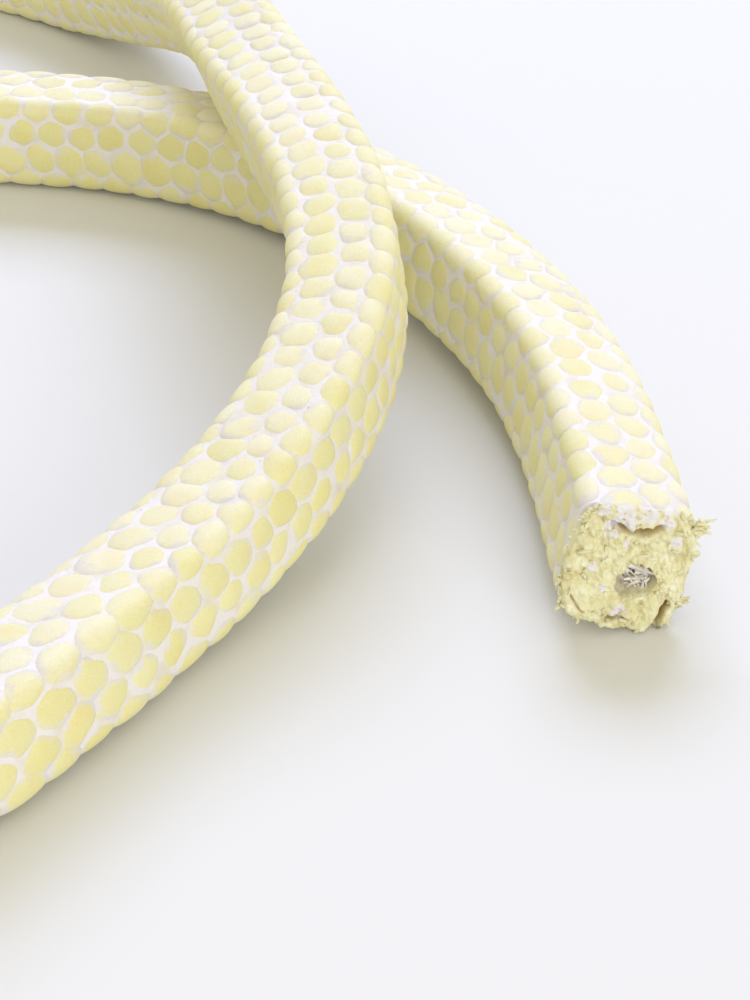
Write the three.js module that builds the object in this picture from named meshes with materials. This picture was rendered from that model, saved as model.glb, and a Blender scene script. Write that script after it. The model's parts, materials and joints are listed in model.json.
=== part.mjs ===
// A length of square braided gland packing, the stock that packing rings are cut from.
//
// One rope of plaited yarn, square in section, lies in a loose loop on a flat surface.
// It starts at a hollow cut end, runs under its own second turn, goes once around and
// climbs over itself to a plain square-cut end. All sizes are in millimetres and +Z is up.

import * as THREE from 'three';

// Section of the rope.
const width = 14;
const cornerRadius = 2.3;

// Braid: stitch columns around the section, the length of one stitch along a column,
// and how far the yarn dips between two stitches of a column and between two columns.
const stitchColumns = 12;
const stitchLength = 6;
const dipBetweenStitches = 0.62;
const dipBetweenColumns = 0.34;

// Hollow left in the middle of the cut end where the core yarns have pulled back.
const hollowWidth = 4.8;
const hollowHeight = 4.2;
const hollowDepth = 5;
const hollowTaper = 0.55;

// Route of the rope from its cut end to its plain end. Each point is the place of the rope's
// middle in plan, how far its underside is above the surface, and how far the square section
// leans about its own length, in degrees.
const route = [
  [29.0, 237.6, 0, -14],
  [27.6, 253.3, 0, -14],
  [25.6, 268.9, 0, -13],
  [21.9, 284.3, 0, -13],
  [16.6, 298.0, 0, -12],
  [9.0, 311.8, 0, -12],
  [-0.2, 324.6, 0, -11],
  [-15.7, 339.5, 0, -7],
  [-34.7, 349.7, 0, -3],
  [-55.7, 354.3, 0, -1],
  [-77.1, 353.1, 0, 0],
  [-97.4, 346.0, 0, 0],
  [-115.1, 333.8, 0, 0],
  [-128.7, 317.1, 0, 0],
  [-137.3, 297.5, 0, 0],
  [-140.3, 276.2, 0, 0],
  [-139.6, 242.9, 0, 0],
  [-136.6, 224.9, 0, 0],
  [-127.8, 208.8, 0, 0],
  [-114.3, 196.5, 0, 0],
  [-97.5, 189.2, 0, 0],
  [-79.3, 187.8, 0, 1],
  [-61.6, 192.5, 0, 3],
  [-46.4, 202.7, 0, 5],
  [-35.1, 217.1, 0, 7],
  [-27.1, 229.2, 0, 6],
  [-18.6, 241.2, 1.6, 6],
  [-10.8, 253.6, 5.1, 7],
  [-5.3, 267.2, 9.1, 8],
  [-3.5, 280.2, 12.5, 9],
  [-5.0, 294.8, 15.1, 11],
  [-8.7, 309.0, 16.2, 13],
  [-13.1, 323.1, 16.2, 14],
  [-17.5, 337.2, 15.7, 20],
  [-22.4, 356.3, 14.8, 27],
  [-28.3, 375.9, 10.4, 28],
  [-37.2, 394.1, 4.5, 18],
  [-50.4, 410.2, 0.6, 7],
  [-67.2, 423.5, 0, 0],
];

// Height of the section's middle above its lowest point when the square leans by an angle.
function reachDown(lean) {
  const flat = width / 2 - cornerRadius;
  return cornerRadius + flat * (Math.abs(Math.cos(lean)) + Math.abs(Math.sin(lean)));
}

function routeCurve() {
  const middles = route.map(([x, y, rise, lean]) => new THREE.Vector3(
    x,
    y,
    rise + reachDown(THREE.MathUtils.degToRad(lean)),
  ));
  const curve = new THREE.CatmullRomCurve3(middles, false, 'centripetal');
  curve.arcLengthDivisions = 40 * route.length;
  return curve;
}

// Lean of the section at a curve parameter from 0 to 1, in radians.
function leanAt(t) {
  const place = t * (route.length - 1);
  const before = Math.min(Math.floor(place), route.length - 2);
  const lean = THREE.MathUtils.lerp(route[before][3], route[before + 1][3], place - before);
  return THREE.MathUtils.degToRad(lean);
}

// Point of the square's outline at a distance around it, counted from the middle of a rounded
// corner, with the direction that faces outwards there.
function outline(distance) {
  const flat = width - 2 * cornerRadius;
  const arc = cornerRadius * Math.PI / 2;
  const side = flat + arc;
  const corner = Math.floor(distance / side);
  const along = distance - corner * side;
  const inset = flat / 2;
  const turn = corner * Math.PI / 2;
  let x = inset;
  let y = inset;
  let facing = Math.PI / 4 + along / cornerRadius;
  if (along > arc / 2 + flat) {
    facing = Math.PI / 4 + (along - flat) / cornerRadius;
    x = -inset;
  } else if (along > arc / 2) {
    facing = Math.PI / 2;
    x = inset - (along - arc / 2);
  }
  const outward = new THREE.Vector2(Math.cos(facing), Math.sin(facing));
  const point = new THREE.Vector2(x, y).addScaledVector(outward, cornerRadius);
  const pivot = new THREE.Vector2(0, 0);
  return { point: point.rotateAround(pivot, turn), outward: outward.rotateAround(pivot, turn) };
}

// One ring of the braid: a crown or a dip in the middle of each column, by turns from column
// to column and from ring to ring, and the line between two columns.
function braidRing(ring) {
  const flat = width - 2 * cornerRadius;
  const perimeter = 4 * flat + 2 * Math.PI * cornerRadius;
  const points = [];
  for (let step = 0; step < 2 * stitchColumns; step += 1) {
    const { point, outward } = outline(perimeter * step / (2 * stitchColumns));
    const betweenColumns = step % 2 === 1;
    const betweenStitches = (step / 2 + ring) % 2 === 1;
    let dip = 0;
    if (betweenColumns) {
      dip = dipBetweenColumns;
    } else if (betweenStitches) {
      dip = dipBetweenStitches;
    }
    points.push(point.addScaledVector(outward, -dip));
  }
  return points;
}

// A straight-sided ring inside the cut end, with as many points as a ring of the braid.
function hollowRing(share) {
  const points = [];
  for (let step = 0; step < 2 * stitchColumns; step += 1) {
    const angle = Math.PI / 4 + step * Math.PI / stitchColumns;
    points.push(new THREE.Vector2(
      share * hollowWidth / 2 * Math.cos(angle),
      share * hollowHeight / 2 * Math.sin(angle),
    ));
  }
  return points;
}

function packingGeometry() {
  const curve = routeCurve();
  const length = curve.getLength();
  const stations = Math.round(length / (stitchLength / 2));
  const up = new THREE.Vector3(0, 0, 1);
  const positions = [];
  const indices = [];

  // Frame of the section at a share of the rope's length: along, across and above.
  const frameAt = (share) => {
    const t = curve.getUtoTmapping(share);
    const along = curve.getTangent(t);
    const across = new THREE.Vector3().crossVectors(along, up).normalize();
    const above = new THREE.Vector3().crossVectors(across, along);
    const lean = leanAt(t);
    return {
      middle: curve.getPoint(t),
      along,
      across: across.clone().multiplyScalar(Math.cos(lean)).addScaledVector(above, Math.sin(lean)),
      above: above.clone().multiplyScalar(Math.cos(lean)).addScaledVector(across, -Math.sin(lean)),
    };
  };

  const addPoint = (point) => {
    positions.push(point.x, point.y, point.z);
    return positions.length / 3 - 1;
  };

  const addRing = (frame, points, forward = 0) => points.map((point) => addPoint(
    frame.middle.clone()
      .addScaledVector(frame.along, forward)
      .addScaledVector(frame.across, point.x)
      .addScaledVector(frame.above, point.y),
  ));

  // Joins two rings so that the faces look out when the second ring lies further along the
  // rope. The diagonal of each quad meets the crown, so that every stitch is a low pyramid.
  const joinRings = (first, second, crownPhase = 0) => {
    const count = first.length;
    for (let step = 0; step < count; step += 1) {
      const next = (step + 1) % count;
      const crownColumn = Math.round(step / 2 + (step % 2 === 0 ? 0 : 0.5));
      const crownOnFirst = (crownColumn + crownPhase) % 2 === 0;
      const crownIsStep = step % 2 === 0;
      if (crownOnFirst === crownIsStep) {
        indices.push(first[step], second[next], first[next]);
        indices.push(first[step], second[step], second[next]);
      } else {
        indices.push(first[step], second[step], first[next]);
        indices.push(first[next], second[step], second[next]);
      }
    }
  };

  const fan = (ring, centre, facesForward) => {
    ring.forEach((corner, step) => {
      const next = ring[(step + 1) % ring.length];
      if (facesForward) {
        indices.push(next, corner, centre);
      } else {
        indices.push(corner, next, centre);
      }
    });
  };

  const rings = [];
  for (let station = 0; station <= stations; station += 1) {
    rings.push(addRing(frameAt(station / stations), braidRing(station)));
  }
  for (let station = 0; station < stations; station += 1) {
    joinRings(rings[station], rings[station + 1], station);
  }

  // Cut end: a flat rim around the hollow, its narrowing wall and its floor.
  const cutFrame = frameAt(0);
  const mouth = addRing(cutFrame, hollowRing(1));
  const floor = addRing(cutFrame, hollowRing(hollowTaper), hollowDepth);
  joinRings(mouth, rings[0]);
  joinRings(floor, mouth);
  const floorMiddle = cutFrame.middle.clone().addScaledVector(cutFrame.along, hollowDepth);
  fan(floor, addPoint(floorMiddle), false);

  // Plain end: cut square across.
  const plainFrame = frameAt(1);
  fan(rings[stations], addPoint(plainFrame.middle), true);

  const geometry = new THREE.BufferGeometry();
  geometry.setAttribute('position', new THREE.Float32BufferAttribute(positions, 3));
  geometry.setIndex(indices);
  geometry.computeVertexNormals();
  return geometry;
}

const yarnMaterial = new THREE.MeshStandardMaterial({
  color: new THREE.Color(0.86, 0.82, 0.52),
  roughness: 0.85,
  metalness: 0,
});

const packing = new THREE.Mesh(packingGeometry(), yarnMaterial);
packing.name = 'packing_rope';

// The origin is the middle of the area that the rope covers, on the surface below it.
const reach = new THREE.Box3().setFromBufferAttribute(packing.geometry.getAttribute('position'));
const middle = reach.getCenter(new THREE.Vector3());
packing.position.set(-middle.x, -middle.y, -reach.min.z);

const part = new THREE.Group();
part.add(packing);

export default part;
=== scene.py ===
# %% [markdown]
# # A length of braided gland packing
# Gland packing is a square rope that is plaited from soaked yarn. Rings are cut from it and
# pressed around the shaft of a pump or a valve. This lesson lays one length of it in a loop on
# a table, with its hollow, frayed cut end towards the camera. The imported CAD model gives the
# place and the size, and every length here is in metres.

import json
import math

import bpy
import numpy as np
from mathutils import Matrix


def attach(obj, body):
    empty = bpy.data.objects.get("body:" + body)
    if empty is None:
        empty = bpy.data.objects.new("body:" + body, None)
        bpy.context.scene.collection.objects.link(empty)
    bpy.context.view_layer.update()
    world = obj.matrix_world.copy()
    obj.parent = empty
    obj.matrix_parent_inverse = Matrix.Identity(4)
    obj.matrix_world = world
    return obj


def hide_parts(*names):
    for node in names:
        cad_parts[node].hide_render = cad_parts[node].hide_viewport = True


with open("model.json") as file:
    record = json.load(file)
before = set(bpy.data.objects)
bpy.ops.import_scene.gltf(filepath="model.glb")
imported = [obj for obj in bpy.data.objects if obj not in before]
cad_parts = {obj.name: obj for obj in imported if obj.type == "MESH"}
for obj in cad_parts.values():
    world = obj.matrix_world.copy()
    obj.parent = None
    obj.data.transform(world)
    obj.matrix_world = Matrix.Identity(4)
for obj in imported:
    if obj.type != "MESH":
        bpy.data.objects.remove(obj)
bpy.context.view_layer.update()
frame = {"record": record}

# %% [markdown]
# ## Sizes of the rope
# The section is a square with round corners. Twelve columns of stitches run along it: one on
# each corner and two on each face. The stitches of neighbouring columns are half a stitch out
# of step, which is what makes the honeycomb look of this plait. A stitch is about 5 mm long
# here, a little more than a column is wide.

# %% Sizes
MM = 0.001
width = 14 * MM
corner_radius = 2.3 * MM
columns = 12
stitch_length = 5.0 * MM
flat_width = width - 2 * corner_radius
corner_arc = corner_radius * math.pi / 2
perimeter = 4 * (flat_width + corner_arc)
column_width = perimeter / columns
print("around", round(perimeter / MM, 1), "mm, column", round(column_width / MM, 2), "mm")

# %% [markdown]
# ## The route of the rope
# A rope is a fixed length of something flexible, so its route comes before its shape. Each row
# is a point in plan, the height of the underside above the table, and the lean of the square
# about its own length in degrees. These are the same points as in the CAD source, in metres.

# %% Route
route = [
    (29.0 * MM, 237.6 * MM, 0, -14),
    (27.6 * MM, 253.3 * MM, 0, -14),
    (25.6 * MM, 268.9 * MM, 0, -13),
    (21.9 * MM, 284.3 * MM, 0, -13),
    (16.6 * MM, 298.0 * MM, 0, -12),
    (9.0 * MM, 311.8 * MM, 0, -12),
    (-0.2 * MM, 324.6 * MM, 0, -11),
    (-15.7 * MM, 339.5 * MM, 0, -7),
    (-34.7 * MM, 349.7 * MM, 0, -3),
    (-55.7 * MM, 354.3 * MM, 0, -1),
    (-77.1 * MM, 353.1 * MM, 0, 0),
    (-97.4 * MM, 346.0 * MM, 0, 0),
    (-115.1 * MM, 333.8 * MM, 0, 0),
    (-128.7 * MM, 317.1 * MM, 0, 0),
    (-137.3 * MM, 297.5 * MM, 0, 0),
    (-140.3 * MM, 276.2 * MM, 0, 0),
    (-139.6 * MM, 242.9 * MM, 0, 0),
    (-136.6 * MM, 224.9 * MM, 0, 0),
    (-127.8 * MM, 208.8 * MM, 0, 0),
    (-114.3 * MM, 196.5 * MM, 0, 0),
    (-97.5 * MM, 189.2 * MM, 0, 0),
    (-79.3 * MM, 187.8 * MM, 0, 1),
    (-61.6 * MM, 192.5 * MM, 0, 3),
    (-46.4 * MM, 202.7 * MM, 0, 5),
    (-35.1 * MM, 217.1 * MM, 0, 7),
    (-27.1 * MM, 229.2 * MM, 0, 6),
    (-18.6 * MM, 241.2 * MM, 1.6 * MM, 6),
    (-10.8 * MM, 253.6 * MM, 5.1 * MM, 7),
    (-5.3 * MM, 267.2 * MM, 9.1 * MM, 8),
    (-3.5 * MM, 280.2 * MM, 12.5 * MM, 9),
    (-5.0 * MM, 294.8 * MM, 15.1 * MM, 11),
    (-8.7 * MM, 309.0 * MM, 16.2 * MM, 13),
    (-13.1 * MM, 323.1 * MM, 16.2 * MM, 14),
    (-17.5 * MM, 337.2 * MM, 15.7 * MM, 20),
    (-22.4 * MM, 356.3 * MM, 14.8 * MM, 27),
    (-28.3 * MM, 375.9 * MM, 10.4 * MM, 28),
    (-37.2 * MM, 394.1 * MM, 4.5 * MM, 18),
    (-50.4 * MM, 410.2 * MM, 0.6 * MM, 7),
    (-67.2 * MM, 423.5 * MM, 0, 0),
]
plain_end = next(m for m in frame["record"]["mounts"] if m["name"] == "plain_end")
last_x, last_y, last_rise, _ = route[-1]
layout_shift = np.array(plain_end["pos_m"]) - [last_x, last_y, last_rise + width / 2]
print("route points", len(route), "shift", layout_shift.round(4))

# %% [markdown]
# A smooth curve goes through the points. The centripetal form of the Catmull-Rom curve makes no
# loops or cusps between points that are unevenly spaced. The curve is then walked at an even
# step, and at each step it gets a frame: along the rope, across it and above it. The lean turns
# the last two. A leaning square reaches further down than an upright one, so it is lifted by
# that much to stay on the table.


# %% Curve
def reach_down(lean):
    flat = width / 2 - corner_radius
    return corner_radius + flat * (np.abs(np.cos(lean)) + np.abs(np.sin(lean)))


def smooth_curve(points, steps):
    ends = [2 * points[0] - points[1], *points, 2 * points[-1] - points[-2]]
    share = np.arange(steps)[:, None] / steps
    pieces = []
    for before, first, second, after in zip(ends, ends[1:], ends[2:], ends[3:]):
        gap0, gap1, gap2 = (
            np.linalg.norm(b - a) ** 0.5
            for a, b in ((before, first), (first, second), (second, after))
        )
        leave = (first - before) / gap0 - (second - before) / (gap0 + gap1)
        leave = (leave + (second - first) / gap1) * gap1
        arrive = (second - first) / gap1 - (after - first) / (gap1 + gap2)
        arrive = (arrive + (after - second) / gap2) * gap1
        square = -3 * first + 3 * second - 2 * leave - arrive
        cube = 2 * first - 2 * second + leave + arrive
        pieces.append(first + leave * share + square * share**2 + cube * share**3)
    return np.vstack([*pieces, points[-1][None]])


rows = np.array(route) * [1, 1, 1, math.pi / 180]
middles = np.column_stack([rows[:, :2], rows[:, 2] + reach_down(rows[:, 3])]) + layout_shift
steps_between = 60
dense = smooth_curve(list(middles), steps_between)
dense_lean = np.interp(
    np.arange(len(dense)) / steps_between, np.arange(len(rows)), rows[:, 3]
)
walked = np.concatenate([[0], np.cumsum(np.linalg.norm(np.diff(dense, axis=0), axis=1))])
rope_length = walked[-1]
print("rope length", round(rope_length, 4), "m")

# %% [markdown]
# The frames are kept at stations that are a quarter of a millimetre apart. Level is square to
# the rope and flat, raised is square to both, and the lean mixes the two.

# %% Frames along the rope
station_gap = 0.25 * MM
stations = np.linspace(0, rope_length, int(rope_length / station_gap) + 1)


def unit(vectors):
    return vectors / np.linalg.norm(vectors, axis=-1, keepdims=True)


centre = np.column_stack([np.interp(stations, walked, dense[:, k]) for k in range(3)])
along = unit(np.gradient(centre, axis=0))
level = unit(np.cross(along, [0.0, 0.0, 1.0]))
raised = np.cross(level, along)
lean = np.interp(stations, walked, dense_lean)[:, None]
across = np.cos(lean) * level + np.sin(lean) * raised
above = np.cos(lean) * raised - np.sin(lean) * level
print("stations", len(stations))

# %% [markdown]
# ## The camera
# The picture looks down at the loop at 34 degrees from just under two hand widths above the
# table. The camera comes first because the rope's hidden length has to lie outside its view.

# %% Camera
camera_height = 12.63 * width
camera_tilt_down = math.radians(34)
camera_lens = 90.9
camera_data = bpy.data.cameras.new("camera")
camera_data.lens = camera_lens
camera_data.clip_start = 0.01
camera = bpy.data.objects.new("camera", camera_data)
camera.location = (layout_shift[0], layout_shift[1], camera_height)
camera.rotation_euler = (math.pi / 2 - camera_tilt_down, 0, 0)
bpy.context.collection.objects.link(camera)
bpy.context.scene.camera = camera
print("camera at", [round(v, 3) for v in camera.location])

# %% [markdown]
# ## Points on the rope
# Everything on the rope is placed by two numbers: how far along it, and how far around its
# section from a corner. A third number lifts the point off the smooth square. One function
# turns them into points in space, for whole arrays at once.


# %% Surface function
def outline(around):
    side = flat_width + corner_arc
    around = np.mod(around, perimeter)
    corner = np.floor(around / side)
    step = around - corner * side
    on_flat = np.clip(step - corner_arc / 2, 0, flat_width)
    turned = np.clip(step, 0, corner_arc / 2) + np.clip(step - corner_arc / 2 - flat_width, 0, None)
    facing = math.pi / 4 + turned / corner_radius + corner * math.pi / 2
    turn = corner * math.pi / 2
    x, y = flat_width / 2 - on_flat, flat_width / 2
    outward = np.stack([np.cos(facing), np.sin(facing)], -1)
    base = np.stack([x * np.cos(turn) - y * np.sin(turn), x * np.sin(turn) + y * np.cos(turn)], -1)
    return base + corner_radius * outward, outward


def place(distance, sideways, upward):
    spot = np.clip(distance / rope_length * (len(stations) - 1), 0, len(stations) - 1)
    low = np.minimum(spot.astype(int), len(stations) - 2)
    mix = (spot - low)[..., None]
    beyond = (distance - np.clip(distance, 0, rope_length))[..., None]

    def blend(values):
        return values[low] * (1 - mix) + values[low + 1] * mix

    return (
        blend(centre)
        + blend(across) * sideways[..., None]
        + blend(above) * upward[..., None]
        + blend(along) * beyond
    )


def on_rope(distance, around, lift):
    point, outward = outline(around)
    point = point + outward * lift[..., None]
    return place(distance, point[..., 0], point[..., 1])


print("corner point", on_rope(np.array([0.0]), np.array([0.0]), np.array([0.0])).round(4))

# %% [markdown]
# ## Noise for the shapes
# Real yarn is never even. A sum of a few sine waves in random directions gives smooth noise
# for whole arrays, the same in every run because the generator is seeded.

# %% Noise
seed = 7
rng = np.random.default_rng(seed)


def wavy(points, size, waves=14):
    total = np.zeros(points.shape[:-1])
    for _ in range(waves):
        direction = rng.normal(size=points.shape[-1]) / size
        total += np.sin(points @ direction + rng.uniform(0, 2 * math.pi))
    return total / math.sqrt(waves / 2)


print("random seed", seed)

# %% [markdown]
# ## Meshes from arrays
# Every piece of the rope is worked out as an array of points and a list of faces. Blender can
# build such a mesh in one call, which is much faster than its modelling tools. Values that the
# materials need, such as how near a point is to the rim of its stitch, go along as attributes.


# %% Mesh helpers
def mesh_object(name, points, faces, material):
    mesh = bpy.data.meshes.new(name)
    mesh.from_pydata(points.tolist(), [], faces)
    mesh.polygons.foreach_set("use_smooth", [True] * len(mesh.polygons))
    mesh.materials.append(material)
    piece = bpy.data.objects.new(name, mesh)
    bpy.context.collection.objects.link(piece)
    print(name, len(mesh.vertices), "points,", sum(len(f) - 2 for f in faces), "triangles")
    return piece


def add_value(piece, name, values):
    layer = piece.data.attributes.new(name, "FLOAT", "POINT")
    layer.data.foreach_set("value", np.asarray(values, dtype=np.float32).ravel())


# %% [markdown]
# ## Materials
# Two stuffs show: pale yellow yarn, and the white dressing that was worked into the plait and
# fills the gaps like grout. One material could paint both on a single surface. Here each stitch
# is a piece of yarn of its own, so each stuff has its own material. Both are made from nodes:
# each helper below adds a node and hands on its output.


# %% Material helpers
def new_material(name):
    material = bpy.data.materials.new(name)
    material.use_nodes = True
    return material, material.node_tree.nodes, material.node_tree.links


def noise_node(nodes, links, vector, scale, detail=3.0, roughness=0.55):
    noise = nodes.new("ShaderNodeTexNoise")
    noise.inputs["Scale"].default_value = scale
    noise.inputs["Detail"].default_value = detail
    noise.inputs["Roughness"].default_value = roughness
    links.new(vector, noise.inputs["Vector"])
    return noise.outputs["Fac"]


def ramp_node(nodes, links, value, stops):
    ramp = nodes.new("ShaderNodeValToRGB")
    while len(ramp.color_ramp.elements) < len(stops):
        ramp.color_ramp.elements.new(0.5)
    for element, (position, colour) in zip(ramp.color_ramp.elements, stops):
        element.position = position
        element.color = (*colour, 1)
    links.new(value, ramp.inputs["Fac"])
    return ramp.outputs["Color"]


def math_node(nodes, links, kind, first, second):
    node = nodes.new("ShaderNodeMath")
    node.operation = kind
    for socket, value in zip(node.inputs, (first, second)):
        if isinstance(value, (int, float)):
            socket.default_value = value
        else:
            links.new(value, socket)
    return node.outputs[0]


def range_node(nodes, links, value, low, high, highest=1.0, kind="SMOOTHSTEP"):
    node = nodes.new("ShaderNodeMapRange")
    node.interpolation_type = kind
    node.inputs["From Min"].default_value = low
    node.inputs["From Max"].default_value = high
    node.inputs["To Max"].default_value = highest
    links.new(value, node.inputs["Value"])
    return node.outputs["Result"]


def mix_colours(nodes, links, factor, first, second, kind="MIX"):
    node = nodes.new("ShaderNodeMix")
    node.data_type = "RGBA"
    node.blend_type = kind
    sockets = (node.inputs[0], node.inputs[6], node.inputs[7])
    for socket, value in zip(sockets, (factor, first, second)):
        if isinstance(value, (int, float)):
            socket.default_value = value
        elif isinstance(value, tuple):
            socket.default_value = (*value, 1)
        else:
            links.new(value, socket)
    return node.outputs[2]


def bump_node(nodes, links, height, strength, distance, normal=None):
    bump = nodes.new("ShaderNodeBump")
    bump.inputs["Strength"].default_value = strength
    bump.inputs["Distance"].default_value = distance
    links.new(height, bump.inputs["Height"])
    if normal is not None:
        links.new(normal, bump.inputs["Normal"])
    return bump.outputs["Normal"]


def value_of(nodes, name):
    node = nodes.new("ShaderNodeAttribute")
    node.attribute_name = name
    return node.outputs["Fac"]


# %% [markdown]
# ## The dressing
# The dressing is a soft white paste. It isn't quite even: where it is thin the yarn warms it,
# and a few specks of dirt are caught in it. A broad noise makes the thin patches, a fine one
# the specks, and a third one a slight grain.

# %% Dressing material
dressing_white = (0.78, 0.75, 0.77)
dressing_thin = (0.68, 0.64, 0.52)
speck_grey = (0.55, 0.52, 0.49)
unchanged = (1, 1, 1)


def dressing_material():
    material, nodes, links = new_material("dressing")
    shader = nodes["Principled BSDF"]
    spot = nodes.new("ShaderNodeTexCoord").outputs["Object"]
    patches = noise_node(nodes, links, spot, 260, 4)
    colour = ramp_node(nodes, links, patches, [(0.26, dressing_thin), (0.5, dressing_white)])
    specks = noise_node(nodes, links, spot, 1100, 2)
    dark = ramp_node(nodes, links, specks, [(0.22, speck_grey), (0.29, unchanged)])
    colour = mix_colours(nodes, links, 1.0, colour, dark, "MULTIPLY")
    links.new(colour, shader.inputs["Base Color"])
    shader.inputs["Roughness"].default_value = 0.55
    grain = noise_node(nodes, links, spot, 1500, 3)
    links.new(bump_node(nodes, links, grain, 0.5, 0.0002), shader.inputs["Normal"])
    return material


dressing = dressing_material()
print(dressing.name, len(dressing.node_tree.nodes), "nodes")

# %% [markdown]
# ## The yarn
# A stitch is a bundle of fine yellow filaments. Its tone is a value on the mesh, so that every
# stitch can differ a little. The same value also carries painted light: it is higher where a
# stitch faces up, and those stitches turn cream. A noise that is stretched along the yarn draws
# the filaments, and a broad one leaves a warm tint here and there. The dressing creeps over the
# rim of a stitch and lies in smears on its crown: the rim value and two noises are added up, and
# where the sum is high the colour fades to that of the dressing.

# %% Yarn material
yarn_deep = (0.82, 0.785, 0.36)
yarn_pale = (0.85, 0.835, 0.48)
# The cream is painted light: only stitches that face up reach it.
painted_top_cream = (0.90, 0.89, 0.70)
filament_shade = (0.95, 0.86, 0.72)
warm_tint = (1.0, 0.95, 0.87)


def filament_noise(nodes, links):
    uv_node = nodes.new("ShaderNodeUVMap")
    uv_node.uv_map = "filaments"
    stretch = nodes.new("ShaderNodeMapping")
    stretch.inputs["Scale"].default_value = (1.0, 9.0, 1.0)
    links.new(uv_node.outputs["UV"], stretch.inputs["Vector"])
    return noise_node(nodes, links, stretch.outputs["Vector"], 1.6, 4, 0.6)


def dressing_cover(nodes, links, spot):
    wander = noise_node(nodes, links, spot, 760, 5, 0.65)
    wander = math_node(nodes, links, "MULTIPLY", wander, 0.7)
    edge = math_node(nodes, links, "ADD", value_of(nodes, "rim"), wander)
    smears = noise_node(nodes, links, spot, 310, 4, 0.6)
    smears = range_node(nodes, links, smears, 0.5, 0.8, 0.55, "LINEAR")
    edge = math_node(nodes, links, "ADD", edge, smears)
    return range_node(nodes, links, edge, 0.92, 1.36)


def yarn_material():
    material, nodes, links = new_material("yarn")
    shader = nodes["Principled BSDF"]
    spot = nodes.new("ShaderNodeTexCoord").outputs["Object"]
    filaments = filament_noise(nodes, links)
    # Painted light: the tone value is higher on stitches that face up, so their colour is paler.
    tones = [(0.0, yarn_deep), (0.5, yarn_pale), (1.0, painted_top_cream)]
    colour = ramp_node(nodes, links, value_of(nodes, "tone_and_top_light"), tones)
    shade = ramp_node(nodes, links, filaments, [(0.3, filament_shade), (0.55, unchanged)])
    colour = mix_colours(nodes, links, 1.0, colour, shade, "MULTIPLY")
    broad = noise_node(nodes, links, spot, 240, 3)
    tint = ramp_node(nodes, links, broad, [(0.46, unchanged), (0.72, warm_tint)])
    colour = mix_colours(nodes, links, 1.0, colour, tint, "MULTIPLY")
    cover = dressing_cover(nodes, links, spot)
    colour = mix_colours(nodes, links, cover, colour, dressing_white)
    links.new(colour, shader.inputs["Base Color"])
    shader.inputs["Roughness"].default_value = 0.62
    shader.inputs["Sheen Weight"].default_value = 0.15
    fine = bump_node(nodes, links, filaments, 0.5, 0.0003)
    grain = noise_node(nodes, links, spot, 2600, 2)
    links.new(bump_node(nodes, links, grain, 0.12, 0.00012, fine), shader.inputs["Normal"])
    return material


yarn = yarn_material()
print(yarn.name, len(yarn.node_tree.nodes), "nodes")

# %% [markdown]
# ## The body of the rope
# Under the stitches lies the dressed body of the rope, which shows as the white net between
# them. It could be a bevelled curve, but then nothing could be sunk into its end. So it is one
# closed tube of rings along the route: a little below the crowns of the stitches, faintly
# rippled, and with a pocket in the cut end behind the core yarns.

# %% Rings of the body
body_around = 96
body_ring_gap = 0.75 * MM
body_sink = 0.22 * MM
body_stop = 0.6 * MM
ripple_size = 1.1 * MM
ripple_depth = 0.05 * MM
ring_places = np.linspace(body_stop, rope_length - body_stop, int(rope_length / body_ring_gap))
ring_turns = np.arange(body_around) / body_around * perimeter
grid_s, grid_p = np.meshgrid(ring_places, ring_turns, indexing="ij")
ripple = wavy(np.stack([grid_s, grid_p], -1), ripple_size) * ripple_depth
body_rings = on_rope(grid_s, grid_p, -body_sink + ripple)
print("body rings", len(body_rings))

# %% [markdown]
# Two more rings make the pocket: one level with the cut, and one deep inside. Neighbouring
# rings are joined by four-sided faces, and the first and the last ring are closed by one face
# each. This piece stands for the CAD solid.

# %% Body mesh
hollow_middle = (1.3 * MM, -1.4 * MM)
pocket_radius = 3.3 * MM
pocket_depth = 7 * MM


def tube_faces(rings, count):
    first = np.arange(rings - 1)[:, None] * count + np.arange(count)[None]
    right = np.arange(rings - 1)[:, None] * count + (np.arange(count)[None] + 1) % count
    quads = np.stack([first, first + count, right + count, right], -1)
    return quads.reshape(-1, 4).tolist()


def closed_tube_faces(rings, count):
    start_lid = list(range(count))
    end_lid = [(rings - 1) * count + k for k in reversed(range(count))]
    return tube_faces(rings, count) + [start_lid, end_lid]


def pocket_ring(distance):
    angle = math.pi / 4 + ring_turns / perimeter * 2 * math.pi
    sideways = hollow_middle[0] + pocket_radius * np.cos(angle)
    upward = hollow_middle[1] + pocket_radius * np.sin(angle)
    return place(np.full(body_around, distance), sideways, upward)


pocket = [pocket_ring(pocket_depth), pocket_ring(body_stop)]
all_rings = np.concatenate([pocket, body_rings])
body_faces = closed_tube_faces(len(all_rings), body_around)
rope_body = mesh_object("rope_body", all_rings.reshape(-1, 3), body_faces, dressing)
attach(rope_body, "root")
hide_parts("packing_rope")

# %% [markdown]
# ## The length of the stitches
# The plait isn't even along the rope: on the strand at the front its stitches are pulled
# longer, and towards the crossing they are packed shorter. So the length is a line through a
# few places, and a running count of stitches is kept along the rope. A stitch then sits
# wherever the count reaches its number, which keeps neighbouring columns half a stitch apart.

# %% Stitch length
length_places = np.array([0, 440, 480, 498, 540, 600, 705]) * MM
length_there = np.array([1.0, 1.12, 1.12, 0.88, 0.80, 0.86, 1.0]) * stitch_length
walk = np.linspace(0, rope_length, 4000)
length_at = np.interp(walk, length_places, length_there)
counted = np.cumsum(rope_length / len(walk) / length_at)
print("stitches in a column", int(counted[-1]))

# %% [markdown]
# ## The layout of the stitches
# Each stitch is a flattened loop of yarn that comes up out of the plait and dives back in.
# Packed side by side they press each other into a honeycomb, with a thin net of dressing
# between them. So each stitch is laid out first as a point on the unrolled surface of the rope.
# There are three kinds: the largest on the corners, and on each face a column of small ones
# that lean one way beside a column of large ones that lean the other.

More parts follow.
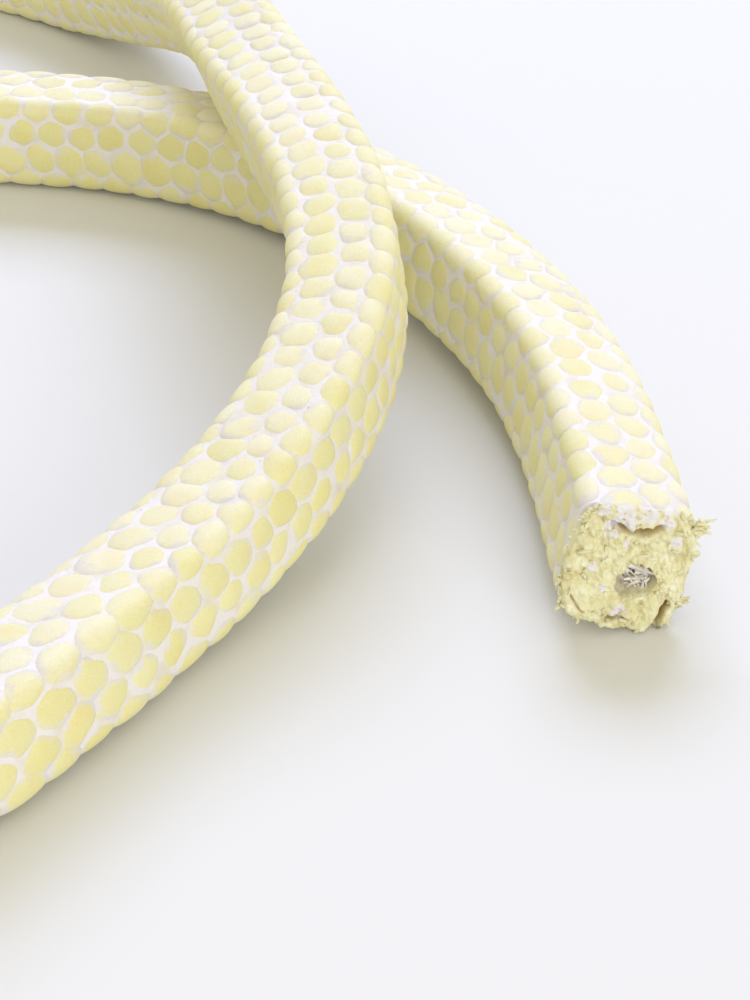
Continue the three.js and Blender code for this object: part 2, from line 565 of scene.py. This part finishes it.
# %% Stitch layout
kind_size = np.array([2.80, 2.15, 2.55]) * MM
kind_slant = np.radians([10, 25, -32])
kind_lean = np.array([0.06, 0.06, 0.12])
kind_fill = np.array([1.0, 0.95, 1.0])
first_count = 0.4
bare_end = 1.8 * MM
size_spread = 0.05
site_spread = (0.20 * MM, 0.16 * MM)
site_rows = []
for column in range(columns):
    for number in range(int(counted[-1])):
        count_here = number + first_count + 0.5 * (column % 2)
        distance = np.interp(count_here, counted, walk)
        if bare_end < distance < rope_length - bare_end:
            site_rows.append((distance, column * column_width))
sites = np.array(site_rows)
site_column = np.round(sites[:, 1] / column_width).astype(int)
site_kind = site_column % 3
local_share = np.interp(sites[:, 0], length_places, length_there) / stitch_length
site_size = kind_size[site_kind] * np.minimum(local_share, 1)
site_size = site_size * rng.normal(1, size_spread, len(sites))
sites += rng.normal(0, 1, sites.shape) * site_spread
print("stitches", len(sites))

# %% [markdown]
# ## The outline of a stitch
# A stitch reaches towards each neighbour until about halfway, where the two press on each
# other, and a large stitch pushes a small one back. A hard minimum over the neighbours would
# give sharp corners. A soft one, the eighth root of a sum of eighth powers, rounds them.

# %% Stitch outline
neighbours = 8
softness = 8
longest_reach = 3.2 * MM


def reach(number, angles):
    gap = sites - sites[number]
    gap[:, 1] = np.mod(gap[:, 1] + perimeter / 2, perimeter) - perimeter / 2
    far = np.hypot(gap[:, 0], gap[:, 1])
    near = np.argsort(far)[1 : neighbours + 1]
    pushed = (site_size[number] ** 2 - site_size[near] ** 2) / (2 * far[near])
    halfway = far[near] / 2 + pushed
    facing = np.cos(angles[..., None] - np.arctan2(gap[near, 1], gap[near, 0]))
    limits = halfway / np.clip(facing, 0.05, None)
    soft = (limits**-softness).sum(-1) ** (-1 / softness)
    return np.minimum(soft, longest_reach)


print("reach of stitch 0", round(reach(0, np.array([0.0]))[0] / MM, 2), "mm")

# %% [markdown]
# ## The shape of a stitch
# The stitch is a closed pillow: a square grid that is rounded to a disc, spread over the
# outline and domed, with its rim sunk below the body of the rope. Its outline is drawn wider by
# the part that is sunk. A slight tilt, a second lobe and a third one make every stitch its own.

# %% Stitch grid
stitch_grid = 11
unit_line = np.linspace(-1, 1, stitch_grid)
unit_x, unit_y = np.meshgrid(unit_line, unit_line, indexing="ij")
disc_x = unit_x * np.sqrt(1 - unit_y**2 / 2)
disc_y = unit_y * np.sqrt(1 - unit_x**2 / 2)
disc_rim = np.hypot(disc_x, disc_y)
disc_angle = np.arctan2(disc_y, disc_x)
dome = np.clip(1 - disc_rim**2.4, 0, None) ** 0.62
index = np.arange(stitch_grid**2).reshape(stitch_grid, stitch_grid)
stitch_quads = np.stack([index[:-1, :-1], index[1:, :-1], index[1:, 1:], index[:-1, 1:]], -1)
stitch_quads = stitch_quads.reshape(-1, 4)
rim_loop = np.concatenate([index[:-1, 0], index[-1, :-1], index[:0:-1, -1], index[0, :0:-1]])
print("points in a stitch", disc_rim.size)

# %% [markdown]
# The filaments of a stitch run along its slant, so each stitch also gets flat coordinates that
# are turned by the slant and moved to a place of their own in the noise.

# %% One stitch
net_width = 0.26 * MM
crown_lift = 0.11 * MM
rim_sink = 0.8 * MM
seen_share = 0.75
tilt_height = 0.10 * MM
slant_spread = 0.1
fill_spread = 0.035
crown_spread = 0.35
third_lobe = 0.03
noise_room = 50


def stitch(number):
    kind = site_kind[number]
    slant = kind_slant[kind] + rng.normal(0, slant_spread)
    fill = kind_fill[kind] * rng.normal(1, fill_spread)
    radius = (reach(number, disc_angle) - net_width / 2) * fill / seen_share
    radius = radius * (1 + kind_lean[kind] * np.cos(2 * (disc_angle - slant)))
    turn = rng.uniform(0, 2 * math.pi)
    radius = radius * (1 + third_lobe * np.sin(3 * disc_angle + turn))
    x = disc_x * radius
    y = disc_y * radius
    tilt = tilt_height * (rng.normal() * disc_x + rng.normal() * disc_y)
    crown = crown_lift * rng.normal(1, crown_spread)
    lift = -rim_sink + (rim_sink + crown + tilt) * dome
    turned_x = x * math.cos(slant) + y * math.sin(slant)
    turned_y = y * math.cos(slant) - x * math.sin(slant)
    uv = np.stack([turned_x, turned_y], -1) / MM + rng.uniform(0, noise_room, 2)
    return sites[number, 0] + x, sites[number, 1] + y, lift, uv


# %% [markdown]
# ## The stitches of one side
# One piece for each stitch would make well over a thousand pieces, so the three columns of a
# side are joined. Each point carries two values for the material: how near it is to the rim of
# its stitch, and the tone of the yarn. The tone differs a little at random, and it also holds
# painted light: it is paler where the stitch faces up. Close to the cut the blade smeared
# dressing over the stitches.

# %% Stitch pieces
lowest_point = 0.02 * MM
end_margin = 0.1 * MM
tone_by_chance = 0.45
painted_top_light = 0.65
cut_smear = 0.45
smear_reach = 2.5 * MM


def stitch_side_piece(name, wanted_columns):
    numbers = np.flatnonzero(np.isin(site_column, wanted_columns))
    made = [stitch(number) for number in numbers]
    all_s, all_p, all_lift, all_uv = (np.array(part) for part in zip(*made))
    s = np.clip(all_s, end_margin, rope_length - end_margin)
    points = on_rope(s, all_p, all_lift)
    points[..., 2] = np.maximum(points[..., 2], lowest_point)
    outward = on_rope(s, all_p, all_lift + MM) - points
    facing_up = np.clip(unit(outward)[..., 2], 0, 1)
    chance = rng.uniform(0, 1, len(numbers))[:, None, None]
    # Painted light: the tone rises where the stitch faces up.
    tone_and_top_light = tone_by_chance * chance + painted_top_light * facing_up
    starts = np.arange(len(numbers))[:, None] * stitch_grid**2
    quads = (starts[:, :, None] + stitch_quads[None]).reshape(-1, 4)
    undersides = starts + rim_loop[None, ::-1]
    faces = quads.tolist() + undersides.tolist()
    piece = mesh_object(name, points.reshape(-1, 3), faces, yarn)
    add_value(piece, "rim", disc_rim[None] + cut_smear * np.exp(-s / smear_reach))
    add_value(piece, "tone_and_top_light", tone_and_top_light)
    layer = piece.data.uv_layers.new(name="filaments")
    corners = np.empty(len(piece.data.loops), dtype=np.int32)
    piece.data.loops.foreach_get("vertex_index", corners)
    flat_uv = all_uv.reshape(-1, 2)[corners]
    layer.data.foreach_set("uv", flat_uv.astype(np.float32).ravel())
    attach(piece, "root")
    return piece


stitch_pieces = [
    stitch_side_piece(f"stitches_side_{side + 1}", range(3 * side, 3 * side + 3))
    for side in range(4)
]

# %% [markdown]
# ## Torn yarn
# At the cut the filaments are matted, so there is no direction in them. The colour wanders
# between ochre and cream, is painted brown as shade in the creases, and is covered by white where
# dressing is left. Three values on the mesh say where: crease shade, white, and inside for the
# pale hollow.

# %% Torn yarn material
torn_deep = (0.66, 0.60, 0.31)
torn_middle = (0.77, 0.745, 0.48)
torn_pale = (0.86, 0.85, 0.66)
# The brown below is painted shade for the creases and the cracks of the cut.
crease_shade_brown = (0.46, 0.32, 0.12)
hollow_cream = (0.82, 0.75, 0.60)


def torn_material():
    material, nodes, links = new_material("torn_yarn")
    shader = nodes["Principled BSDF"]
    spot = nodes.new("ShaderNodeTexCoord").outputs["Object"]
    tufts = noise_node(nodes, links, spot, 620, 5, 0.6)
    tones = [(0.25, torn_deep), (0.5, torn_middle), (0.72, torn_pale)]
    colour = ramp_node(nodes, links, tufts, tones)
    # Painted shade: the creases and cracks turn brown.
    crease_shade_amount = math_node(nodes, links, "MULTIPLY", value_of(nodes, "crease_shade"), 0.6)
    colour = mix_colours(nodes, links, crease_shade_amount, colour, crease_shade_brown)
    patches = noise_node(nodes, links, spot, 900, 4, 0.65)
    left = math_node(nodes, links, "ADD", value_of(nodes, "white"), patches)
    cover = range_node(nodes, links, left, 0.85, 1.15)
    colour = mix_colours(nodes, links, cover, colour, dressing_white)
    colour = mix_colours(nodes, links, value_of(nodes, "inside"), colour, hollow_cream)
    links.new(colour, shader.inputs["Base Color"])
    shader.inputs["Roughness"].default_value = 0.75
    coarse = bump_node(nodes, links, tufts, 0.6, 0.0005)
    grain = noise_node(nodes, links, spot, 2600, 5, 0.7)
    links.new(bump_node(nodes, links, grain, 0.5, 0.0002, coarse), shader.inputs["Normal"])
    return material


torn_yarn = torn_material()
print(torn_yarn.name, len(torn_yarn.node_tree.nodes), "nodes")

# %% [markdown]
# ## The cut ends
# A blunt blade mats the cut yarns into a crumbly mass. Loose clumps could be scattered over a
# flat face, but gaps would show between them. So the cap at each end is one closed skin: rings
# that start under the stitches, come over the edge and run to the middle. At the ragged end the
# section is splayed at its corners, and the core yarns have pulled back and left a hollow.

# %% Rings of a cap
cap_around = 224
cap_turns = np.arange(cap_around) / cap_around * perimeter
cap_angles = math.pi / 4 + cap_turns / perimeter * 2 * math.pi
rim_rings = [(2.4, -0.9), (1.3, -0.3), (0.7, 0.02), (0.25, 0.12), (-0.1, 0.0), (-0.3, -0.25)]
face_rings = 40
face_stand = 0.35 * MM
hollow_rings = [(-0.5, 0.98), (-0.1, 1.0), (0.3, 1.02), (0.7, 0.98), (1.0, 0.8), (1.1, 0.45)]
hollow_radius = 2.15 * MM
plain_radius = 0.15 * MM
corner_splay = 0.045
fray_lift = 0.12 * MM
fray_size = 0.5 * MM


def folded(points, size):
    return np.abs(wavy(points, size, 18))


def hollow_outline(circle):
    uneven = 1 + 0.16 * np.sin(2 * cap_angles + 0.6) + 0.12 * np.sin(3 * cap_angles + 2)
    uneven = uneven + 0.05 * np.sin(9 * cap_angles)
    return np.array(hollow_middle) + circle * (hollow_radius * uneven)[:, None]


def cap_rings(ragged):
    edge, outward = outline(cap_turns)
    circle = np.stack([np.cos(cap_angles), np.sin(cap_angles)], -1)
    inner = hollow_outline(circle) if ragged else circle * plain_radius
    edge_angles = np.arctan2(edge[:, 1], edge[:, 0])
    splay = corner_splay * np.cos(4 * edge_angles) * ragged
    splayed = edge * (1 + splay)[:, None]
    spots = []
    depths = []
    for depth, lift in rim_rings:
        lifted = np.full(cap_around, lift * MM)
        if ragged and depth < 1:
            lifted = lifted + fray_lift * folded(edge, fray_size)
        start = edge if depth > 1 else splayed
        spots.append(start + outward * lifted[:, None])
        depths.append(depth * MM)
    for share in np.linspace(0, 1, face_rings)[1:]:
        spots.append((splayed - outward * face_stand) * (1 - share) + inner * share)
        depths.append(-face_stand)
    if ragged:
        middle = np.array(hollow_middle)
        for depth, size in hollow_rings:
            spots.append(middle + (inner - middle) * size)
            depths.append(depth * MM)
    return np.array(spots), np.repeat(np.array(depths)[:, None], cap_around, 1)


# %% [markdown]
# Folded noise, the size of a sum of waves without its sign, has sharp valleys between round
# lumps, as matted yarn has. Three sizes of it lift the face. Where it is near zero lies a
# crease, and that is kept as a value that paints shade into the colour, as brown. All of it
# fades out a millimetre behind the face, under the stitches.

# %% Lumps and creases
face_start = 1.0 * MM
face_fade = 1.2 * MM
jitter_size = 0.7 * MM
jitter_step = 0.07 * MM


def torn_face(spots, depths, roughness):
    on_face = np.clip((face_start - depths) / face_fade, 0, 1)
    jitter = np.stack([wavy(spots, jitter_size), wavy(spots, jitter_size)], -1)
    spots = spots + jitter * (jitter_step * roughness * on_face)[..., None]
    big, small, fine = (folded(spots, size * MM) for size in (1.1, 0.5, 0.22))
    lumps = 0.36 * big + 0.26 * small + 0.14 * fine
    depths = depths - lumps * MM * roughness * on_face
    # This value marks the creases for painted shade.
    crease_shade = np.exp(-((big / 0.16) ** 2)) * 0.6 + np.exp(-((small / 0.14) ** 2)) * 0.4
    return spots, depths, crease_shade, on_face


# %% [markdown]
# The blade dragged the lower lip of the cut forward and left a few cracks, and white dressing
# sticks to the face in spots. A crack is a path with a half width and a depth, a spot of
# dressing a place with a radius, all in millimetres across and above the middle of the rope.

# %% Cracks and dressing spots
lip_drag = 2.4 * MM
lip_top = 2 * MM
lip_span = 9 * MM
cracks = [
    ([(-3.2, 5.2), (-1.2, 4.5), (0.4, 4.6), (2.3, 5.5)], 0.32, 1.9),
    ([(5.8, -3.8), (5.3, -4.7), (5.0, -6.2)], 0.3, 1.9),
    ([(-5.9, -4.2), (-5.0, -5.2), (-4.0, -5.8)], 0.11, 0.4),
    ([(-0.9, -6.3), (0.6, -5.8), (1.6, -6.0)], 0.2, 0.8),
]
dressing_spots = [
    (-3.4, 4.6, 1.0),
    (-2.2, 6.3, 1.4),
    (2.8, 6.4, 0.9),
    (4.6, 4.2, 0.8),
    (-4.2, -0.6, 0.6),
    (-2.4, -2.6, 0.5),
    (0.0, -5.2, 0.9),
    (-1.0, 2.8, 0.4),
    (-4.8, 6.9, 0.9),
    (0.6, 7.0, 1.0),
]


def near_path(points, path):
    nearest = np.full(points.shape[:-1], 1.0)
    for start, end in zip(path, path[1:]):
        start, end = np.array(start) * MM, np.array(end) * MM
        share = ((points - start) @ (end - start)) / ((end - start) @ (end - start))
        foot = start + np.clip(share, 0, 1)[..., None] * (end - start)
        nearest = np.minimum(nearest, np.linalg.norm(points - foot, axis=-1))
    return nearest


def dragged_and_cracked(spots, depths, crease_shade, on_face):
    low = np.clip((lip_top - spots[..., 1]) / lip_span, 0, 1)
    depths = depths - lip_drag * low**1.4 * on_face
    for path, half_width, deep in cracks:
        gap = np.exp(-((near_path(spots, path) / (half_width * MM)) ** 2))
        depths = depths + deep * MM * gap * on_face
        # Painted shade: the cracks go into the crease value too, so they turn brown.
        crease_shade = np.maximum(crease_shade, np.sqrt(gap) * 1.7)
    return depths, crease_shade


def dressing_left(spots, places):
    white = np.full(spots.shape[:-1], 0.12)
    for x, y, radius in places:
        away = np.hypot(spots[..., 0] - x * MM, spots[..., 1] - y * MM) / (radius * MM)
        white = np.maximum(white, np.clip(1.5 - away, 0, 1))
    return white


print("cracks", len(cracks), "dressing spots", len(dressing_spots))

# %% [markdown]
# Both ends are made by the same steps. The plain end is only cut neatly, so it is smoother and
# has no drag, cracks or hollow, and its distances are counted from the far end of the rope.

# %% Caps of the ends
plain_roughness = 0.35
lowest_torn = 0.03 * MM


def end_cap(name, ragged):
    spots, depths = cap_rings(ragged)
    roughness = 1.0 if ragged else plain_roughness
    spots, depths, crease_shade, on_face = torn_face(spots, depths, roughness)
    if ragged:
        depths, crease_shade = dragged_and_cracked(spots, depths, crease_shade, on_face)
    rings_inside = np.arange(len(spots))[:, None] - (len(rim_rings) + face_rings - 1)
    distance = depths if ragged else rope_length - depths
    points = place(distance, spots[..., 0], spots[..., 1])
    points[..., 2] = np.maximum(points[..., 2], lowest_torn)
    faces = closed_tube_faces(len(points), cap_around)
    if not ragged:
        faces = [face[::-1] for face in faces]
    cap = mesh_object(name, points.reshape(-1, 3), faces, torn_yarn)
    add_value(cap, "crease_shade", crease_shade * on_face)
    add_value(cap, "white", dressing_left(spots, dressing_spots if ragged else []))
    add_value(cap, "inside", np.clip(rings_inside / 3, 0, 1) * np.ones(cap_around))
    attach(cap, "root")
    return cap


cut_cap = end_cap("cut_end_face", ragged=True)
plain_cap = end_cap("plain_end_face", ragged=False)

# %% [markdown]
# ## Loose fibres
# Torn ends of yarn stick out around the cut. Hair strands wouldn't be exported as a mesh, so
# each one is a short curved ribbon, a flat tube that thins to its tip. All the ribbons of one
# stuff are joined to one piece.

# %% Ribbons
ribbon_steps = 6
ribbon_sides = 5
ribbon_points = ribbon_steps * ribbon_sides


def ribbon(start, direction, length, half_width, half_depth, curl):
    direction = unit(direction)
    side = unit(np.cross(direction, rng.normal(size=3)))
    flat = np.cross(direction, side)
    share = np.linspace(0, 1, ribbon_steps)[:, None]
    spine = start + direction * share * length + curl * share**2 * length
    spine = spine + side * np.sin(share * rng.uniform(2, 6)) * length * 0.08
    turn = np.arange(ribbon_sides) / ribbon_sides * 2 * math.pi
    thin = np.sqrt(1 - 0.85 * share**6)
    rough = rng.uniform(0.65, 1.3, (ribbon_steps, ribbon_sides, 1))
    wide = side * (half_width * np.cos(turn))[:, None]
    deep = flat * (half_depth * np.sin(turn))[:, None]
    return spine[:, None] + (wide + deep)[None] * thin[:, :, None] * rough


def fibre_piece(name, ribbons, material):
    points = np.array(ribbons)
    points[..., 2] = np.maximum(points[..., 2], lowest_torn)
    one = closed_tube_faces(ribbon_steps, ribbon_sides)
    faces = []
    for number in range(len(points)):
        faces += [[corner + number * ribbon_points for corner in face] for face in one]
    piece = mesh_object(name, points.reshape(-1, 3), faces, material)
    # Each ribbon gets a random share of the brown painted crease shade, and of white dressing.
    crease_shade = rng.uniform(0, 0.2, len(points))
    white = rng.uniform(0, 0.45, len(points))
    add_value(piece, "crease_shade", np.repeat(crease_shade, ribbon_points))
    add_value(piece, "white", np.repeat(white, ribbon_points))
    add_value(piece, "inside", np.zeros(len(points) * ribbon_points))
    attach(piece, "root")
    return piece


# %% [markdown]
# Fibres grow in tufts. A tuft is a number of ribbons that start near one place on the cut and
# point roughly one way. Its place is in millimetres across, above and forward of the middle of
# the end, and its direction is given along the same three lines.

# %% Tufts
end_across, end_above, end_forward = across[0], above[0], -along[0]


def end_point(x, y, forward):
    return centre[0] + (end_across * x + end_above * y + end_forward * forward) * MM


def tuft(count, x, y, forward, direction, length, spread, thickness, scatter=0.35, curl=0.4):
    made = []
    for _ in range(count):
        start = end_point(
            x + rng.normal(0, spread), y + rng.normal(0, spread), forward + rng.normal(0, 0.3)
        )
        way = end_across * direction[0] + end_above * direction[1] + end_forward * direction[2]
        way = way + rng.normal(0, scatter, 3)
        size = length * rng.uniform(0.5, 1.1) * MM
        wide = thickness * rng.uniform(0.5, 1.3) * MM
        made.append(ribbon(start, way, size, wide, wide * 0.5, rng.normal(0, curl, 3)))
    return made


print("end faces", end_forward.round(2))

# %% [markdown]
# ## The fringe of the cut
# Most fibres are small and stand all around the edge, and they grow longer towards the dragged
# lower lip. Flakes of yarn lie on the face, away from the hollow and the two open cracks. Three
# corners have thicker tufts: each row gives the count, the place across, above and forward, the
# direction, the length, the spread, the thickness, the scatter and the curl.

# %% Fringe
edge_places = 130
edge_inset = 0.5
crack_margin = 0.8 * MM
face_flakes = 110
flake_crack_margin = 0.95 * MM
flake_hollow_margin = 2.6 * MM
corner_tufts = [
    (34, 6.3, 6.0, 0.1, (1.0, 0.12, 0.1), 1.4, 0.4, 0.34, 0.08, 0.1),
    (30, 6.3, -3.3, 1.4, (1.0, 0.1, 0.3), 1.1, 0.45, 0.3, 0.1, 0.12),
    (12, -5.8, -5.6, 1.2, (-0.8, -0.2, 0.5), 0.7, 0.4, 0.28, 0.15, 0.15),
]
fringe = []
for turn in np.linspace(0, perimeter, edge_places, endpoint=False):
    (edge_x, edge_y), (out_x, out_y) = outline(np.array(turn))
    x = edge_x / MM - out_x * edge_inset
    y = edge_y / MM - out_y * edge_inset
    if near_path(np.array([x, y]) * MM, cracks[1][0]) < crack_margin:
        continue
    lower = max(0.0, -y / 7)
    way = (out_x, out_y * (0.7 if y > -4 else 0.1), 0.6 + 0.8 * lower)
    fringe += tuft(2, x, y, 0.1 + 2.0 * lower**1.4, way, 0.75 + 0.3 * lower, 0.25, 0.3)
for _ in range(face_flakes):
    x, y = rng.uniform(-6, 6), rng.uniform(-6.4, 6)
    spot = np.array([x, y]) * MM
    if np.hypot(*(spot - hollow_middle)) < flake_hollow_margin:
        continue
    if min(near_path(spot, path) for path, _, _ in cracks[:2]) < flake_crack_margin:
        continue
    lower = np.clip((2 - y) / 9, 0, 1)
    way = (rng.normal(), rng.normal(), 0.25)
    fringe += tuft(1, x, y, 0.6 + 2.2 * lower**1.4, way, 1.2, 0.1, 0.34)
for settings in corner_tufts:
    fringe += tuft(*settings)
cut_fringe = fibre_piece("cut_end_fringe", fringe, torn_yarn)

# %% [markdown]
# ## The core yarns
# In the hollow the ends of the core yarns are seen as pale strands, thick ones and thin ones.
# They start around the wall of the hollow and lean to its middle. The core was soaked with
# dressing, so it is grey and white rather than yellow.

# %% Core fibres
core_strands = 60
core_radius = 1.8
core_length = 2.1
thick_strand = 0.3
thin_strand = 0.14
core_grey = (0.66, 0.62, 0.52)
core_white = (0.84, 0.82, 0.82)


def core_material():
    material, nodes, links = new_material("core_yarn")
    shader = nodes["Principled BSDF"]
    spot = nodes.new("ShaderNodeTexCoord").outputs["Object"]
    streaks = noise_node(nodes, links, spot, 1400, 3)
    colour = ramp_node(nodes, links, streaks, [(0.3, core_grey), (0.6, core_white)])
    links.new(colour, shader.inputs["Base Color"])
    shader.inputs["Roughness"].default_value = 0.6
    return material


core = []
for number in range(core_strands):
    angle = rng.uniform(0, 2 * math.pi)
    x = hollow_middle[0] / MM + core_radius * math.cos(angle)
    y = hollow_middle[1] / MM + core_radius * math.sin(angle)
    way = (0.35 - math.cos(angle) * 0.9, -0.2 - math.sin(angle) * 0.9, 0.35)
    thickness = thick_strand if number % 2 == 0 else thin_strand
    core += tuft(1, x, y, -0.7 + rng.uniform(0, 0.5), way, core_length, 0.15, thickness, 0.2)
core_fibres = fibre_piece("core_fibres", core, core_material())

# %% [markdown]

# %% [markdown]
# ## The table
# The rope lies on a plain white table. The table is only there for the picture, to show the
# shadows. It is one face, wide enough to fill the view.

# %% Table
table_size = 3.0
table_mesh = bpy.data.meshes.new("table")
half = table_size / 2
table_mesh.from_pydata(
    [(-half, -half, 0), (half, -half, 0), (half, half, 0), (-half, half, 0)], [], [(0, 1, 2, 3)]
)
table_material, table_nodes, _ = new_material("table")
table_shader = table_nodes["Principled BSDF"]
table_shader.inputs["Base Color"].default_value = (0.735, 0.74, 0.77, 1)
table_shader.inputs["Roughness"].default_value = 0.6
table_shader.inputs["Specular IOR Level"].default_value = 0.2
table_mesh.materials.append(table_material)
table = bpy.data.objects.new("table", table_mesh)
bpy.context.collection.objects.link(table)
print("table", table_size, "m wide")

# %% [markdown]
# ## The room
# The light of the room comes from all sides, so it is a plain colour of the world. It is warm,
# and the shadows that only the room reaches turn olive.

# %% Room light
room_colour = (1.0, 0.945, 0.725, 1)
room_strength = 0.77
world = bpy.data.worlds.new("room")
bpy.context.scene.world = world
world.use_nodes = True
room = world.node_tree.nodes["Background"]
room.inputs["Color"].default_value = room_colour
room.inputs["Strength"].default_value = room_strength
print("room strength", room_strength)

# %% [markdown]
# ## The lamps
# A wide soft lamp far behind and above throws the shadows towards the camera. It is cool, so
# that it and the warm room together light the table white. A weak low lamp in front opens up
# the sides of the rope. Area lamps are used because a sun would give shadows of one hardness.


# %% Lamps
def soft_lamp(name, place_at, size, watts, colour):
    lamp_data = bpy.data.lights.new(name, "AREA")
    lamp_data.shape = "RECTANGLE"
    lamp_data.size = size[0]
    lamp_data.size_y = size[1]
    lamp_data.energy = watts
    lamp_data.color = colour
    lamp = bpy.data.objects.new(name, lamp_data)
    lamp.location = place_at
    lamp.rotation_euler = (-lamp.location).to_track_quat("-Z", "Y").to_euler()
    bpy.context.collection.objects.link(lamp)
    print(name, [round(v, 2) for v in lamp.location], watts, "W")


soft_lamp("back_lamp", (0.1, 2.1, 1.6), (2.0, 1.2), 67, (0.62, 0.68, 1.0))
soft_lamp("front_lamp", (0.5, -1.1, 0.36), (0.9, 0.5), 6.2, (0.98, 0.98, 1.0))
bpy.context.scene.view_settings.view_transform = "Standard"
